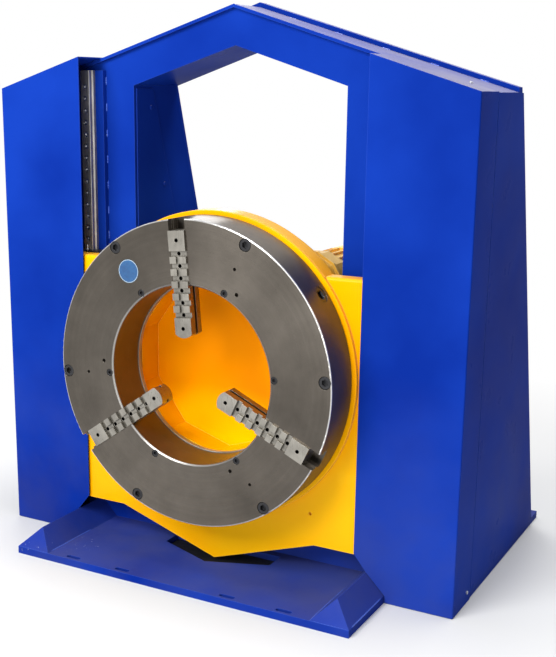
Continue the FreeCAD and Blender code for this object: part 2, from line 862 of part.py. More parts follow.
def ring_gear_race():
    """Inner race of the slewing bearing, with the drive's internal teeth in its bore."""
    y0 = chuck_face + adapter_end
    y1 = chuck_face + race_end - 2
    pitch_radius = gear_module * ring_teeth / 2
    tip = pitch_radius - internal_addendum * gear_module
    root = pitch_radius + dedendum * gear_module
    race = ring_y(ball_circle_radius - race_gap, tip, y0, y1)
    spaces = gear_outline(ring_teeth, tip - 2, root, gear_backlash / 2, pinion_angle, 0.0, axis_height, 2)
    race = race.cut(prism_y(spaces, y0 - 1, y1 + 1))
    return race.cut(race_profile_cut(ball_radius + ball_gap))


def drive_pinion():
    x, z = polar(motor_distance, pinion_angle)
    pitch_radius = gear_module * pinion_teeth / 2
    tip = pitch_radius + addendum * gear_module
    root = pitch_radius - dedendum * gear_module
    y0 = chuck_face + adapter_end + pinion_setback
    outline = gear_outline(pinion_teeth, root, tip, -gear_backlash / 2, pinion_angle, x, z, 4)
    teeth = prism_y(outline, y0, y0 + pinion_width)
    shaft = rod_y(pinion_shaft_radius, y0, gearcase_back + pinion_shaft_reach, x, z)
    return teeth.fuse(shaft).removeSplitter()


def gearcase_cover():
    y0 = chuck_face + gearcase_end
    y1 = gearcase_back
    x, z = polar(motor_distance, pinion_angle)
    cover = rod_y(gearcase_radius, y0, y1)
    cover = cover.cut(prism_y(pan_outline(pan_wall + seat_gap), y0 - 1, y1 + 1))
    return cover.cut(rod_y(pinion_shaft_radius + running_gap, y0 - 1, y1 + 1, x, z))


def pan_outline(grow):
    start = 180.0 - 180.0 / pan_sides
    return polygon_xz(pan_radius + grow / math.cos(math.pi / pan_sides), pan_sides, 0.0, axis_height, start)


def bore_pan():
    """Ten-sided pan that lines the bore inside the drive and closes it at the back."""
    y0 = chuck_face + pan_start
    y1 = gearcase_back
    pan = prism_y(pan_outline(pan_wall), y0, y1)
    return pan.cut(prism_y(pan_outline(0), y0 - 1, y1 - pan_wall))


def drive_gearbox():
    """Twelve-sided reduction gearbox: flared bell, bolted rim and straight body."""
    x, z = polar(motor_distance, pinion_angle)
    y0 = gearcase_back
    y1 = y0 + gearbox_bell_depth
    y2 = y1 + gearbox_rim_depth
    y3 = y2 + gearbox_body_depth
    neck = gearbox_outline(gearbox_neck_radius, x, z)
    wide = gearbox_outline(gearbox_bell_radius, x, z)
    wires = [Part.makePolygon([Vec(px, y, pz) for px, pz in points + [points[0]]])
             for points, y in ((neck, y0), (wide, y1))]
    bell = Part.makeLoft(wires, True, True)
    rim = prism_y(gearbox_outline(gearbox_rim_radius, x, z), y1, y2)
    body = prism_y(gearbox_outline(gearbox_body_radius, x, z), y2, y3)
    bore = rod_y(pinion_shaft_radius + running_gap, y0 - 1, y0 + pinion_shaft_reach + 1, x, z)
    return fuse([bell, rim, body]).cut(bore)


def gearbox_outline(radius, x, z):
    return polygon_xz(radius, gearbox_sides, x, z, 180.0 / gearbox_sides)


def drive_motor():
    """Finned motor with a fan cowl, and a terminal box with its own small gland."""
    x, z = polar(motor_distance, pinion_angle)
    y0 = gearcase_back + gearbox_bell_depth + gearbox_rim_depth + gearbox_body_depth
    y1 = y0 + motor_length
    y2 = y1 + motor_cowl_length
    fins = []
    for k in range(motor_fin_count):
        fin = box(x + motor_radius - motor_fin_root, x + motor_radius + motor_fin_height,
                  y0 + motor_fin_margin, y1 - motor_fin_margin,
                  z - motor_fin_thick / 2, z + motor_fin_thick / 2)
        fin.rotate(Vec(x, 0, z), Vec(0, 1, 0), 360.0 * k / motor_fin_count)
        fins.append(fin)
    cowl = rod_y(motor_cowl_radius, y1, y2, x, z)
    cowl = cowl.cut(rod_y(motor_cowl_radius - cowl_sheet, y1 + cowl_hollow_start, y2 - cowl_sheet, x, z))
    for k in range(cowl_hole_count):
        angle = 360.0 * k / cowl_hole_count
        hole_x, hole_z = polar(motor_cowl_radius * cowl_hole_share, angle, x, z)
        cowl = cowl.cut(rod_y(cowl_hole_radius, y2 - cowl_sheet - 1, y2 + 1, hole_x, hole_z))
    box_y = (y0 + y1) / 2
    box_z = z - motor_radius - terminal_height
    w = terminal_half_width
    terminal = box(x - w, x + w, box_y - terminal_half_length, box_y + terminal_half_length,
                   box_z, z - motor_radius + terminal_root)
    gland = rod_x(terminal_gland_radius, x - w - terminal_gland_length, x - w, box_y,
                  z - motor_radius - terminal_gland_drop)
    return [fuse([rod_y(motor_radius, y0, y1, x, z)] + fins + [terminal, gland]), cowl]


def nut_arm():
    """Bracket from the back of the carriage plate, through the frame's slot, to the lift nut."""
    z0 = arm_bottom
    z1 = z0 + arm_height
    x = screw_half_spacing
    foot = box(carriage_half_width - arm_foot_length, x + arm_width / 2,
               carriage_back, carriage_back + arm_foot_thick, z0, z1)
    arm = box(x - arm_width / 2, x + arm_width / 2, carriage_back + arm_foot_thick - 1, screw_y, z0, z1)
    housing = rod_z(nut_radius + nut_housing_wall, z0, z1, x, screw_y)
    arm = fuse([foot, arm, housing])
    return arm.cut(rod_z(nut_radius + seat_gap, z0 - 1, z1 + 1, x, screw_y))


def lift_nut():
    z1 = arm_bottom + arm_height
    x = screw_half_spacing
    nut = rod_z(nut_radius, z1 - nut_length, z1 + 1, x, screw_y)
    flange = rod_z(nut_flange_radius, z1, z1 + nut_flange_thick, x, screw_y)
    nut = nut.fuse(flange).removeSplitter()
    return nut.cut(rod_z(screw_radius + running_gap, z1 - nut_length - 1, z1 + nut_flange_thick + 1, x,
                         screw_y))


def carriage_screws():
    """Heads round the gearcase cover, and those of the guide block screws on the plate's front."""
    screws = []
    for k in range(gearcase_screw_count):
        angle = 360.0 * (k + 0.5) / gearcase_screw_count
        x, z = polar(gearcase_radius - gearcase_screw_margin, angle)
        screws.append(rod_y(gearcase_screw_radius, gearcase_back, gearcase_back + gearcase_screw_head, x, z))
    for side in (-1, 1):
        for centre in (axis_height + block_high, axis_height + block_low):
            for dx in (-block_screw_pitch_x / 2, block_screw_pitch_x / 2):
                for dz in (-block_screw_pitch_z / 2, block_screw_pitch_z / 2):
                    screws.append(rod_y(block_screw_radius, carriage_front - block_screw_head,
                                        carriage_front, side * rail_half_spacing + dx, centre + dz))
    return screws


# ---------------------------------------------------------------- spindle
def spindle_adapter():
    y = chuck_face + chuck_depth
    ring = ring_y(adapter_radius, adapter_bore, y, chuck_face + adapter_end)
    for circle, thread in screw_circles:
        for x, z in screw_places(circle):
            ring = ring.cut(rod_y(thread / 2, y - 1, chuck_face + adapter_end + 1, x, z))
    return ring


def jaw_section(gap):
    """Outline across the jaw: flanks with a groove that rides on the body's tongues."""
    w = jaw_width / 2 + gap
    front = chuck_face - jaw_proud
    t0 = chuck_face + jaw_tongue_start - gap
    t1 = chuck_face + jaw_tongue_start + jaw_tongue_width + gap
    d = jaw_tongue_depth
    half = [(w, front), (w, t0 + 2 * gap), (w - d, t0 + 2 * gap), (w - d, t1 - 2 * gap),
            (w, t1 - 2 * gap), (w, chuck_face + jaw_depth + gap)]
    return half + [(-x, y) for x, y in reversed(half)]


def jaw_prism(gap, r0, r1):
    """Jaw profile run outwards along +Z above the axis, from radius r0 to r1."""
    points = [Vec(x, y, axis_height + r0) for x, y in jaw_section(gap)]
    return face(points).extrude(Vec(0, 0, r1 - r0))


def jaw(index):
    """One master jaw; its scroll teeth are stepped by a third of the scroll's pitch."""
    r0 = jaw_inner_end
    r1 = r0 + jaw_length
    z = axis_height
    front = chuck_face - jaw_proud
    back = chuck_face + jaw_depth
    nose = rod_y(jaw_nose_radius, front - 1, back + 1, 0, z + r0 + jaw_nose_radius)
    straight = box(-jaw_width, jaw_width, front - 1, back + 1, z + r0 + jaw_nose_radius, z + r1)
    solid = jaw_prism(0, r0, r1).common(nose.fuse(straight).removeSplitter())
    first = (r0 + r1 - (key_count - 1) * key_pitch) / 2
    key_places = [first + k * key_pitch for k in range(key_count)]
    half = key_width / 2
    for r in key_places:
        solid = solid.cut(box(-jaw_width, jaw_width, front - 1, front + key_depth,
                              z + r - half, z + r + half))
    half = key_groove_width / 2
    solid = solid.cut(box(-half, half, front - 1, front + key_groove_depth,
                          z + first, z + key_places[-1]))
    for r in key_places + [r0 + jaw_end_hole_margin, r1 - jaw_end_hole_margin]:
        solid = solid.cut(rod_y(jaw_hole_radius, front - 1, front + jaw_hole_depth, 0, z + r))
    for k in range(jaw_teeth):
        solid = solid.fuse(jaw_tooth(jaw_first_tooth + (index / 3.0 + k) * scroll_pitch))
    return spin(solid.removeSplitter(), chuck_turn + 120.0 * index)


def jaw_tooth(radius):
    """Arc-shaped tooth behind the jaw at a radius, standing in the scroll's groove."""
    y0 = chuck_face + jaw_depth - jaw_tooth_root
    y1 = chuck_face + scroll_start + scroll_groove_depth - jaw_tooth_tip_gap
    half = jaw_tooth_width / 2
    arc = ring_y(radius + jaw_tooth_thick / 2, radius - jaw_tooth_thick / 2, y0, y1)
    return arc.common(box(-half, half, y0, y1, axis_height, axis_height + chuck_radius))


def chuck_body():
    y = chuck_face
    y1 = y + chuck_depth
    body = rod_y(chuck_radius, y, y1)
    rims = edges_where(body, lambda e: e.BoundBox.YLength < 0.01)
    body = body.makeFillet(rim_radius, rims)
    body = body.cut(rod_y(chuck_bore, y - 1, y1 + 1))
    bore_edge = edges_where(body, lambda e: abs(e.BoundBox.YMax - y) < 0.01
                            and abs(e.BoundBox.XLength - 2 * chuck_bore) < 0.1)
    body = body.makeChamfer(bore_chamfer, bore_edge)
    body = body.cut(rod_y(cavity_outer, y + chuck_joint, y1 + 1))
    body = body.cut(ring_y(cavity_outer, cavity_inner, y + cavity_start, y + chuck_joint + 1))
    slot = jaw_prism(running_gap, chuck_bore - 20, chuck_radius + 10)
    half = jaw_tooth_width / 2 + 1
    tail = box(-half, half, y + jaw_depth, y + cavity_start + 1,
               axis_height + cavity_inner + 1, axis_height + cavity_outer)
    slot = slot.fuse(tail)
    for k in range(3):
        body = body.cut(spin(slot, chuck_turn + 120.0 * k))
        body = body.cut(spin(key_rod(key_head_radius, cavity_outer - 1, chuck_radius + 1), key_angle(k)))
        x, z = polar(tapped_far_circle, chuck_turn + 60.0 + 120.0 * k)
        body = body.cut(rod_y(tapped_far_radius, y - 1, y + tapped_depth, x, z))
        x, z = polar(tapped_near_circle, chuck_turn + 60.0 + tapped_near_angle + 120.0 * k)
        body = body.cut(rod_y(tapped_near_radius, y - 1, y + tapped_depth, x, z))
    for circle, thread in screw_circles:
        for x, z in screw_places(circle):
            body = body.cut(rod_y(counterbore_ratio * thread, y - 1, y + screw_sink + thread, x, z))
            body = body.cut(rod_y(thread / 2, y, y1 + 1, x, z))
    return body


def screw_places(circle):
    """The six places of one of the chuck's screw circles."""
    return [polar(circle, chuck_turn + 60.0 * k) for k in range(6)]


def key_angle(index):
    return chuck_turn + 30.0 + 120.0 * index


def key_rod(radius, r0, r1):
    """Cylinder lying along a radius, at the depth of the chuck key sockets."""
    return rod_x(radius, r0, r1, chuck_face + key_axis_depth, axis_height)


def chuck_pinion(index):
    """Bevel pinion turned by the chuck key: square socket outside, cone on the scroll inside."""
    y = chuck_face + key_axis_depth
    rim = chuck_radius - key_sink
    neck_end = cavity_outer + key_shoulder
    nose_end = cavity_outer - key_shoulder
    head = key_rod(key_head_radius - running_gap, neck_end, rim)
    neck = key_rod(key_neck_radius, nose_end, neck_end + 1)
    nose = Part.makeCone(key_nose_radius, key_neck_radius, nose_end - key_nose_inner,
                         Vec(key_nose_inner, y, axis_height), Vec(1, 0, 0))
    half = key_square / 2
    socket = box(rim - key_square_depth, rim + 1, y - half, y + half, axis_height - half, axis_height + half)
    mouth = Part.makeCone(half, half * math.sqrt(2), key_mouth_depth,
                          Vec(rim - key_mouth_depth, y, axis_height), Vec(1, 0, 0))
    return spin(fuse([head, neck, nose]).cut(socket).cut(mouth), key_angle(index))


def spiral_edge(offset, turns, y):
    """Archimedean spiral about the chuck axis, moved outwards by offset."""
    start = scroll_radius_at(0) + offset
    points = []
    steps = int(turns * 24)
    for k in range(steps + 1):
        turn = turns * k / steps
        x, z = polar(start + scroll_pitch * turn, chuck_turn + 90.0 + 360.0 * turn)
        points.append(Vec(x, y, z))
    curve = Part.BSplineCurve()
    curve.interpolate(points)
    return curve.toShape()


def scroll_radius_at(turn):
    """Radius of the groove's middle on the first jaw's centre line, turn whole turns out."""
    return jaw_first_tooth + scroll_pitch * (turn - 3)


def scroll_plate():
    """Scroll: spiral groove in front, cone for the pinions behind, hub round the bore."""
    y = chuck_face
    outer = cavity_outer - scroll_gap
    inner = cavity_inner + running_gap
    cone_in = y + key_axis_depth - key_nose_radius - mesh_gap
    cone_out = cone_in - 2
    profile = [(inner, y + scroll_start), (outer, y + scroll_start), (outer, cone_out),
               (key_nose_inner, cone_in), (scroll_hub_outer, cone_in),
               (scroll_hub_outer, y + scroll_end), (inner, y + scroll_end)]
    section = face([Vec(r, yy, axis_height) for r, yy in profile])
    disc = section.revolve(Vec(0, 0, axis_height), Vec(0, 1, 0), 360)
    half = scroll_groove_width / 2
    y0 = y + scroll_start - 1
    low = spiral_edge(-half, scroll_turns, y0)
    high = spiral_edge(half, scroll_turns, y0)
    ends = [Part.makeLine(low.Vertexes[i].Point, high.Vertexes[i].Point) for i in (0, 1)]
    wire = Part.Wire(Part.__sortEdges__([low, ends[1], high, ends[0]]))
    groove = Part.Face(wire).extrude(Vec(0, scroll_groove_depth + 1, 0))
    return disc.cut(groove)


def chuck_back_plate():
    y = chuck_face
    y1 = y + chuck_depth
    disc = rod_y(cavity_outer - seat_gap, y + back_plate_start, y1)
    hub = rod_y(cavity_inner, y + chuck_joint, y + back_plate_start + 1)
    plate = disc.fuse(hub).removeSplitter().cut(rod_y(chuck_bore, y, y1 + 1))
    recess = key_rod(key_neck_radius + key_hole_gap, key_nose_inner - key_hole_gap, cavity_outer + 1)
    for k in range(3):
        plate = plate.cut(spin(recess, key_angle(k)))
    for x, z in screw_places(inner_screw_circle):
        plate = plate.cut(rod_y(inner_screw_thread / 2, y, y1 + 1, x, z))
    return plate


def chuck_screws():
    screws = []
    top = chuck_face + screw_sink
    for x, z in screw_places(outer_screw_circle):
        screws.append(socket_screw_y(outer_screw_thread, top, outer_screw_reach, x, z))
    for x, z in screw_places(inner_screw_circle):
        screws.append(socket_screw_y(inner_screw_thread, top, inner_screw_reach, x, z))
    return screws


def badge_disc():
    x, z = polar(badge_circle, chuck_turn + 120.0)
    return rod_y(badge_radius, chuck_face - badge_thick, chuck_face, x, z)


# ---------------------------------------------------------------- lift drive
def lift_screw():
    """Lift screw with its journals and the bevel gear on its lower end."""
    x = screw_half_spacing
    body = rod_z(screw_radius, screw_bottom + gearbox_size / 2, screw_top, x, screw_y)
    top = rod_z(screw_top_journal_radius, screw_top - 1, screw_top + 36, x, screw_y)
    low = rod_z(screw_journal_radius, shaft_height + bevel_inner_radius - bevel_stub,
                screw_bottom + gearbox_size / 2 + 1, x, screw_y)
    gear = Part.makeCone(bevel_inner_radius - mesh_gap, bevel_radius - mesh_gap,
                         bevel_radius - bevel_inner_radius,
                         Vec(x, screw_y, shaft_height + bevel_inner_radius), Vec(0, 0, 1))
    return fuse([body, top, low, gear])


def cross_shaft():
    """Shaft between the two bevel gearboxes, with a bevel gear on each end."""
    reach = screw_half_spacing - bevel_inner_radius + bevel_stub
    shaft = rod_x(shaft_radius, -reach, reach, screw_y, shaft_height)
    gear = Part.makeCone(bevel_inner_radius - mesh_gap, bevel_radius - mesh_gap,
                         bevel_radius - bevel_inner_radius,
                         Vec(screw_half_spacing - bevel_inner_radius, screw_y, shaft_height), Vec(-1, 0, 0))
    return fuse([shaft, gear, mirror(gear)])


def bevel_gearbox():
    x = screw_half_spacing
    half = gearbox_size / 2
    z0 = base_thick
    z1 = screw_bottom + half - 10
    case = box(x - half, x + half, screw_y - half, screw_y + half, z0, z1)
    w = gearbox_wall
    case = case.cut(box(x - half + w, x + half - w, screw_y - half + w, screw_y + half - w, z0 + w, z1 - w))
    case = case.cut(rod_z(screw_journal_radius + running_gap, z1 - w - 1, z1 + 1, x, screw_y))
    return case.cut(rod_x(shaft_radius + running_gap, x - half - 1, x - half + w + 1, screw_y, shaft_height))


def screw_top_bearing():
    """Bearing block on the back of the front plate that carries the lift screw's top journal."""
    x = screw_half_spacing
    z0 = screw_top + top_bearing_gap
    z1 = z0 + top_bearing_thick
    block = box(x - top_bearing_half, x + top_bearing_half, frame_front + frame_plate,
                screw_y + top_bearing_half, z0, z1)
    return block.cut(rod_z(screw_top_journal_radius + running_gap, z0 - 1, z1 + 1, x, screw_y))


def shaft_pillow():
    x0 = pillow_spacing - pillow_half_length
    x1 = pillow_spacing + pillow_half_length
    block = box(x0, x1, screw_y - pillow_half_depth, screw_y + pillow_half_depth,
                base_thick, shaft_height + pillow_cap)
    return block.cut(rod_x(shaft_radius + running_gap, x0 - 1, x1 + 1, screw_y, shaft_height))


def lift_gearmotor():
    """Hollow-shaft gearbox in the middle of the cross shaft, its motor pointing to the back."""
    w = gearmotor_half_width
    y1 = screw_y + gearmotor_half_depth
    y2 = y1 + gearmotor_flange_thick
    y3 = y2 + lift_motor_length
    case = box(-w, w, frame_front + frame_plate + gearmotor_gap, y1, base_thick, gearmotor_top)
    case = case.cut(rod_x(shaft_radius + running_gap, -w - 1, w + 1, screw_y, shaft_height))
    flange = rod_y(gearmotor_flange_radius, y1 - 1, y2, 0, gearmotor_axis)
    motor = rod_y(lift_motor_radius, y2 - 1, y3, 0, gearmotor_axis)
    foot_start = y1 + lift_foot_setback
    foot = box(-lift_foot_half_width, lift_foot_half_width, foot_start, foot_start + lift_foot_length,
               base_thick, lift_foot_top)
    cowl = rod_y(lift_cowl_radius, y3, y3 + lift_cowl_length, 0, gearmotor_axis)
    return [fuse([case, flange, motor, foot]), cowl]


def cable_gland():
    """Entry plate and gland low on the back of the right-hand column."""
    z = gland_height
    z0 = z - gland_plate_half
    z1 = z + gland_plate_half
    rear0 = back_y(z0) + rear_cover_depth
    rear1 = back_y(z1) + rear_cover_depth
    plate = prism_x([(rear0, z0), (rear0 + gland_plate_thick, z0), (rear1 + gland_plate_thick, z1),
                     (rear1, z1)], gland_x - gland_plate_half, gland_x + gland_plate_half)
    y = back_y(z) + rear_cover_depth + gland_plate_thick
    outwards = Vec(0, 1, back_rake).normalize()
    start = Vec(gland_x, y, z)
    nut = Part.makeCylinder(gland_nut_radius, gland_nut_length, start, outwards)
    cap = Part.makeCylinder(gland_cap_radius, gland_cap_length, start, outwards)
    mouth = start + outwards * (gland_cap_length - gland_bore_depth)
    bore = Part.makeCylinder(gland_bore_radius, gland_bore_depth + 1, mouth, outwards)
    return fuse([plate, nut, cap]).cut(bore)


# ---------------------------------------------------------------- write every piece
def save_pair(name, shape):
    """Right-hand piece as modelled and its mirror image on the left."""
    shapes = shape if isinstance(shape, list) else [shape]
    save(name + "_right", shapes)
    save(name + "_left", [mirror(part) for part in shapes])


def pair(shape):
    return [shape, mirror(shape)]


save("base_plate", base_plate())
save("notch_pan", notch_pan())
save_pair("foot_gusset", foot_gusset())
save("front_frame_plate", front_frame_plate())
save("rear_frame_plate", rear_frame_plate())
save_pair("side_plate", side_plate())
save_pair("inner_wall", inner_wall())
save("inner_liners", inner_liner() + [mirror(part) for part in inner_liner()])
save("opening_lining", opening_lining())
save_pair("roof_plate", roof_plate())
save("roof_strips", pair(roof_strip()))
save_pair("front_cover", front_cover())
save_pair("rear_cover", rear_cover())
save("cover_screws", cover_screws())
save("rail_mount_strips", pair(mount_strip()))
save_pair("guide_rail", guide_rail())
save("rail_screws", rail_screws())
save("screw_top_bearings", pair(screw_top_bearing()))
save_pair("bevel_gearbox", bevel_gearbox())
save("shaft_pillows", pair(shaft_pillow()))
save("lift_gearmotor", lift_gearmotor())
save("cable_gland", cable_gland())

save("carriage_plate", carriage_plate())
save("bearing_housing", bearing_housing())
save("bearing_outer_race", bearing_outer_race())
save("bearing_balls", bearing_balls())
save("gearcase_cover", gearcase_cover())
save("bore_pan", bore_pan())
save("guide_blocks", guide_blocks())
save("nut_arms", pair(nut_arm()))
save("lift_nuts", pair(lift_nut()))
save("drive_gearbox", drive_gearbox())
save("drive_motor", drive_motor())
save("carriage_screws", carriage_screws())

save("spindle_adapter", spindle_adapter())
save("ring_gear_race", ring_gear_race())
save("chuck_body", chuck_body())
save("chuck_back_plate", chuck_back_plate())
save("chuck_screws", chuck_screws())
save("badge_disc", badge_disc())
save("drive_pinion", drive_pinion())
save("scroll_plate", scroll_plate())
for number in range(3):
    save("jaw_" + str(number + 1), jaw(number))
    save("chuck_pinion_" + str(number + 1), chuck_pinion(number))
save_pair("lift_screw", lift_screw())
save("cross_shaft", cross_shaft())
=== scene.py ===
"""Looks of the lifting welding positioner: paint, machined steel, welds and small hardware.

Units are metres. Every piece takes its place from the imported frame.
"""
import json
import math
import random

import bmesh
import bpy
from mathutils import Matrix, Vector


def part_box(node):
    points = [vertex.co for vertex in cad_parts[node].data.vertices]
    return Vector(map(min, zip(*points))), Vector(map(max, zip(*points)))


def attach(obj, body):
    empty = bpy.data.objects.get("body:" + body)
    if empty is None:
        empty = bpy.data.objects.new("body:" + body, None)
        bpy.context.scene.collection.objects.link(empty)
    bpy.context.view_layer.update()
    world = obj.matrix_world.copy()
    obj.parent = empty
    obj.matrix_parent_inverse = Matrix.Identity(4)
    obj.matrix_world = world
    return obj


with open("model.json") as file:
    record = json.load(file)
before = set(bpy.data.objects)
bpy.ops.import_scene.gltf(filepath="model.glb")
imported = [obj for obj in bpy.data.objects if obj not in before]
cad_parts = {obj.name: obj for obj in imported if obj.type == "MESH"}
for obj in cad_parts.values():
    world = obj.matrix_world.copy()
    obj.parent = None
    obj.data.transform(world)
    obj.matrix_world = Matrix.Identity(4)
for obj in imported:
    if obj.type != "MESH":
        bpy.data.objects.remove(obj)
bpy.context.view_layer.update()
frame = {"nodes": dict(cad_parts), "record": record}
nodes = frame["nodes"]
joints = {joint["name"]: joint for joint in frame["record"]["behaviour"]["joints"]}
random.seed(11)

# ---------------------------------------------------------------- places read from the frame
plate_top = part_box("base_plate")[1][2]
chuck_low, chuck_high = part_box("chuck_body")
spindle_axis = Vector(joints["spindle_turn"]["pos_m"])
chuck_face = chuck_low[1]
axis_z = spindle_axis.z
chuck_radius = (chuck_high[0] - chuck_low[0]) / 2
bore_share = 0.585           # the chuck's bore as a share of its radius
bore_radius = chuck_radius * bore_share

# ---------------------------------------------------------------- camera and studio sizes
view_azimuth = math.radians(29.54)
view_down = math.radians(13.44)
view_roll = math.radians(0.32)
camera_place = Vector((1.4577, -2.7526, 1.2642))
camera_lens = 61.35
camera_shift = (0.0690, 0.0442)
floor_half = 30.0
floor_grey = 0.66
shadow_near = 0.9            # the floor keeps most of the shadow up to here from the middle
shadow_far = 2.2             # and is plain white to the camera from here on
near_glow = 0.12             # share of plain white up to shadow_near
fill_strength = 0.30
lamps = [                    # name, place, target, size and power
    ("key_lamp", (-0.9, -3.9, 3.4), (0.0, -0.2, 0.9), 2.6, 265.0),
    ("low_lamp", (0.9, -4.4, 0.9), (0.0, -0.2, 0.4), 1.8, 55.0),
    ("top_lamp", (0.3, 0.4, 4.4), (0.0, 0.0, 0.6), 2.4, 170.0),
    ("rear_lamp", (-3.2, 3.6, 2.8), (0.0, 0.0, 0.8), 2.4, 80.0)]

# ---------------------------------------------------------------- paint and steel
# grey mixed into the paint towards the floor
low_grey_colour = (0.075, 0.075, 0.085, 1.0)
low_grey_share = 0.28              # share of grey mixed in near the floor
# colour of the painted reflection on faces that look up, more of it higher up
up_reflection_colour = (0.30, 0.28, 0.29, 1.0)
low_grey_height = 0.6            # no grey mixed in from here up
up_reflection_low = 0.12              # share of painted reflection on faces that look up, at and below the lower of the two heights that follow
up_reflection_high = 0.70             # and at and above the higher of them
up_reflection_from = 0.05
up_reflection_to = 1.2
scuff_colour = (0.36, 0.39, 0.50, 1.0)
edge_highlight_width = 0.0026          # width of the painted highlights along the edges of painted sheet
# share of the painted highlight colour on those edges
edge_highlight_share = 0.45
# colour of the painted highlights on the chuck's edges
painted_highlight_steel = (0.95, 0.94, 0.91, 1.0)
# colour of the painted shade in inner corners
corner_shade_colour = (0.020, 0.018, 0.016, 1.0)
corner_shade_reach = 0.014          # how far from a corner its painted shade reaches

# ---------------------------------------------------------------- small pieces
bead_sides = 8
bead_step = 0.28             # between a bead's rings, as a share of its radius
bead_height = 0.75           # height over half width
bead_ripple = 0.10           # share by which a bead swells and thins
bead_ripple_step = 0.55      # radii along the bead for one radian of ripple
bead_wander = 0.04           # largest random share on top of the ripple
roof_bead = 0.0028           # radii of the weld beads
strip_bead = 0.0024
foot_bead = 0.0026
roof_stitch = 0.026          # lengths of the short beads
strip_stitch = 0.022
roof_pitch = 0.132           # from the start of one short bead to the start of the next
strip_pitch = 0.0705
back_slope = 0.305           # how far the back leans forward for each metre of height
roof_bead_setback = 0.030    # from the back edge of the roof bars forward to the beads
ridge_drop = 0.024           # from the highest point of the bars down to the first bead
eave_rise = 0.009            # from the lowest point of a roof plate to its top face at the eave
eave_bead_rise = 0.006       # and from there to the last bead
ridge_gap = 0.03             # from the ridge to the first bead
eave_gap = 0.02
strip_width = 0.082          # of a rail strip
strip_foot_gap = 0.02
strip_head_gap = 0.01
strip_bead_inset = 0.001     # in front of the rail strips' back face
foot_inset = 0.002
foot_front_inset = 0.003
foot_run = 0.215             # length of the run on the +x side of each foot
seal_inset = 0.002           # end seals stand this far inside the block's outline
rail_clearance = 0.0006
seal_gap = 0.0004
seal_reach = 0.0085
nipple_inset = 0.010         # behind the seals' front
nipple_rise = 0.0080         # above the upper block
nipple_profile = [(0.0045, 0.0), (0.0045, 0.004), (0.0030, 0.005), (0.0026, 0.010), (0.0034, 0.012),
                  (0.0020, 0.015)]    # radius and height


